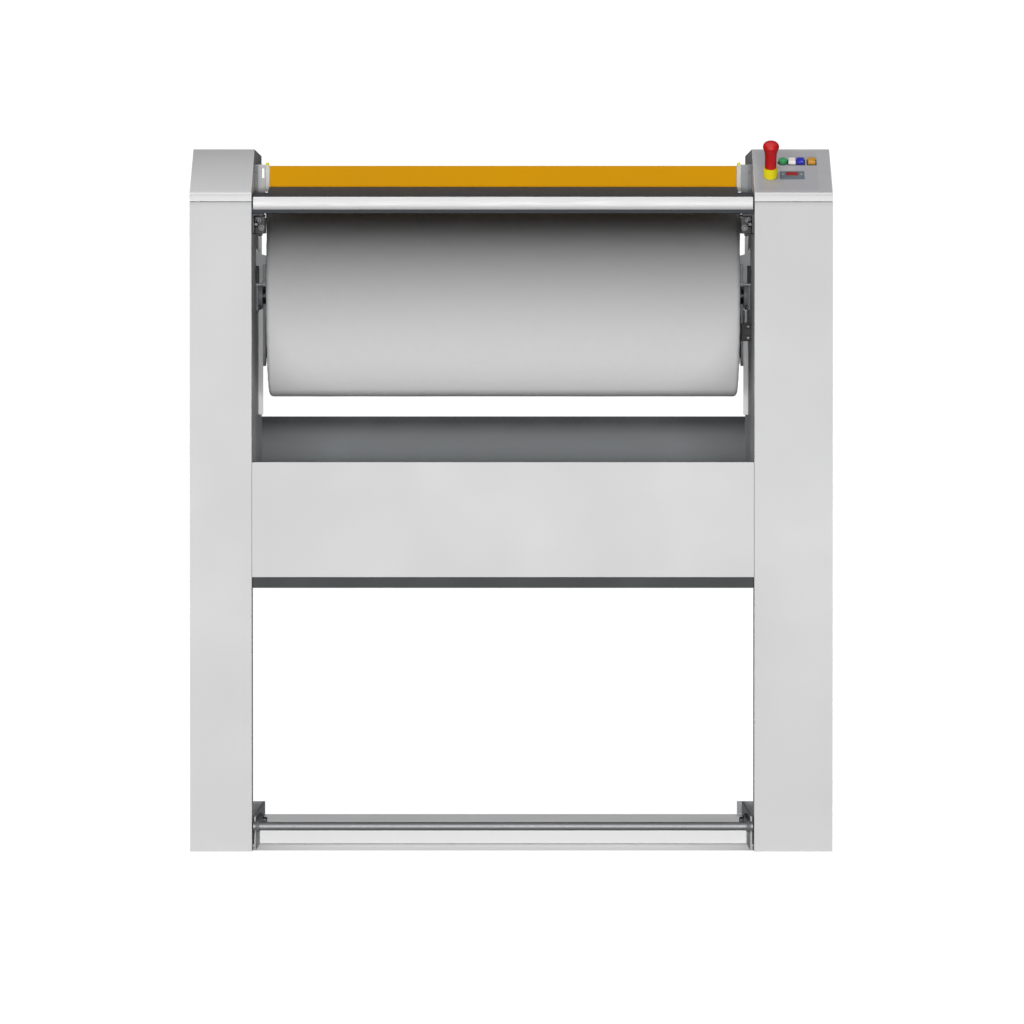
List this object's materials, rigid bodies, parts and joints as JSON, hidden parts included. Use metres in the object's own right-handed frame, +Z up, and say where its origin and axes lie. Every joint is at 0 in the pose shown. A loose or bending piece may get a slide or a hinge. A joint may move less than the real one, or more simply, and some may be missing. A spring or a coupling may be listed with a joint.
{
  "type": "flatwork ironer",
  "caption": "Two-column roller ironer: padded roll against a heated chest, feed table with finger guard, linen tray, foot bar and sloping control caps.",
  "frame": {"origin": "on the floor, in the middle of the width and of the depth", "axes": "+X to the operator's right, +Y to the rear, +Z up"},
  "size_m": [1.08, 0.425, 1.1954],
  "materials": {
    "cover_paint": "satin light grey powder coat",
    "dark_steel": "satin dark grey",
    "zinc_steel": "zinc plated",
    "bright_steel": "polished",
    "table_paint": "matt dark grey",
    "roll_cloth": "woven ironer cloth",
    "roll_felt": "needle felt",
    "guard_paint": "satin safety yellow",
    "post_plastic": "moulded",
    "bearing_iron": "machined and painted",
    "rubber": "matt black",
    "black_plastic": "moulded",
    "motor_paint": "satin",
    "chest_aluminium": "polished ironing face",
    "stop_red": "gloss",
    "stop_yellow": "gloss",
    "button_green": "lens",
    "button_white": "lens",
    "button_blue": "lens",
    "button_amber": "lens",
    "display_plastic": "moulded"
  },
  "bodies": {
    "frame": {"side_frame_left": "zinc_steel", "front_cover_left": "cover_paint", "outer_cover_left": "cover_paint", "inner_cover_left": "cover_paint", "top_cap_left": "cover_paint", "foot_shoe_left": "dark_steel", "feed_bracket_left": "dark_steel", "guard_bracket_left": "cover_paint", "bearing_left": "bearing_iron", "side_frame_right": "zinc_steel", "front_cover_right": "cover_paint", "outer_cover_right": "cover_paint", "inner_cover_right": "cover_paint", "top_cap_right": "cover_paint", "foot_shoe_right": "dark_steel", "feed_bracket_right": "dark_steel", "guard_bracket_right": "cover_paint", "bearing_right": "bearing_iron", "base_pan": "cover_paint", "base_tie_bar": "dark_steel", "tray_front_panel": "cover_paint", "tray_pan": "dark_steel", "feed_table": "table_paint", "feed_table_edge": "bright_steel", "drive_belt": "rubber", "gear_motor": "motor_paint", "e_stop_base": "stop_yellow", "display_module": "display_plastic", "limit_switch": "black_plastic", "electrical_box": "black_plastic", "cable_gland": "black_plastic"},
    "roll": {"roll_drum": "zinc_steel", "roll_shaft": "bright_steel", "roll_padding": "roll_felt", "roll_cover": "roll_cloth", "roll_pulley": "zinc_steel"},
    "motor_pulley": {"motor_pulley": "zinc_steel"},
    "chest": {"ironing_plate": "chest_aluminium", "chest_cover": "zinc_steel", "heater_element_lower": "dark_steel", "heater_element_upper": "dark_steel", "chest_arm_left": "zinc_steel", "chest_arm_right": "zinc_steel"},
    "foot_bar": {"foot_bar": "bright_steel", "pedal_arm_left": "dark_steel", "pedal_arm_right": "dark_steel"},
    "pull_rod_left": {"pull_rod_left": "zinc_steel"},
    "pull_rod_right": {"pull_rod_right": "zinc_steel"},
    "finger_guard": {"finger_guard": "guard_paint", "guard_post_left": "post_plastic", "guard_post_right": "post_plastic"},
    "e_stop_head": {"e_stop_head": "stop_red"},
    "button_green": {"button_green": "button_green"},
    "button_white": {"button_white": "button_white"},
    "button_blue": {"button_blue": "button_blue"},
    "button_amber": {"button_amber": "button_amber"},
    "levelling_foot_left_front": {"levelling_foot_left_front": "rubber"},
    "levelling_foot_left_rear": {"levelling_foot_left_rear": "rubber"},
    "levelling_foot_right_front": {"levelling_foot_right_front": "rubber"},
    "levelling_foot_right_rear": {"levelling_foot_right_rear": "rubber"}
  },
  "joints": [
    {"name": "roll_spin", "type": "hinge", "parent": "frame", "child": "roll", "pos_m": [0, -0.01, 0.939], "axis": [1, 0, 0], "continuous": true},
    {"name": "motor_spin", "type": "hinge", "parent": "frame", "child": "motor_pulley", "pos_m": [0, -0.01, 0.659], "axis": [1, 0, 0], "continuous": true},
    {"name": "foot_press", "type": "hinge", "parent": "frame", "child": "foot_bar", "pos_m": [0, -0.055, 0.0428], "axis": [1, 0, 0], "range_deg": [0, 9], "stiffness_Nm_per_rad": 30, "springref_deg": -14.32},
    {"name": "chest_swing", "type": "hinge", "parent": "frame", "child": "chest", "pos_m": [0, 0.12, 0.845], "axis": [1, 0, 0], "range_deg": [0, 3.02]},
    {"name": "guard_swing", "type": "hinge", "parent": "frame", "child": "finger_guard", "pos_m": [0, -0.083, 1.15], "axis": [1, 0, 0], "range_deg": [0, 20]},
    {"name": "e_stop_press", "type": "slide", "parent": "frame", "child": "e_stop_head", "axis": [0, 0.5164, -0.8563], "range_m": [0, 0.005]},
    {"name": "press_green", "type": "slide", "parent": "frame", "child": "button_green", "axis": [0, 0.5164, -0.8563], "range_m": [0, 0.003], "stiffness_N_per_m": 300, "springref_m": -0.002},
    {"name": "press_white", "type": "slide", "parent": "frame", "child": "button_white", "axis": [0, 0.5164, -0.8563], "range_m": [0, 0.003], "stiffness_N_per_m": 300, "springref_m": -0.002},
    {"name": "press_blue", "type": "slide", "parent": "frame", "child": "button_blue", "axis": [0, 0.5164, -0.8563], "range_m": [0, 0.003], "stiffness_N_per_m": 300, "springref_m": -0.002},
    {"name": "press_amber", "type": "slide", "parent": "frame", "child": "button_amber", "axis": [0, 0.5164, -0.8563], "range_m": [0, 0.003], "stiffness_N_per_m": 300, "springref_m": -0.002},
    {"name": "rod_pull_left", "type": "slide", "parent": "frame", "child": "pull_rod_left", "axis": [0, 0, -1], "range_m": [0, 0.00785]},
    {"name": "rod_pull_right", "type": "slide", "parent": "frame", "child": "pull_rod_right", "axis": [0, 0, -1], "range_m": [0, 0.00785]},
    {"name": "level_left_front", "type": "slide", "parent": "frame", "child": "levelling_foot_left_front", "axis": [0, 0, -1], "range_m": [0, 0.012]},
    {"name": "level_left_rear", "type": "slide", "parent": "frame", "child": "levelling_foot_left_rear", "axis": [0, 0, -1], "range_m": [0, 0.012]},
    {"name": "level_right_front", "type": "slide", "parent": "frame", "child": "levelling_foot_right_front", "axis": [0, 0, -1], "range_m": [0, 0.012]},
    {"name": "level_right_rear", "type": "slide", "parent": "frame", "child": "levelling_foot_right_rear", "axis": [0, 0, -1], "range_m": [0, 0.012]}
  ],
  "couplings": [
    {"joint": "chest_swing", "follows": "foot_press", "ratio": 0.33333},
    {"joint": "rod_pull_left", "follows": "foot_press", "m_per_rad": 0.0498},
    {"joint": "rod_pull_right", "follows": "foot_press", "m_per_rad": 0.0498},
    {"joint": "motor_spin", "follows": "roll_spin", "ratio": 2.4}
  ]
}
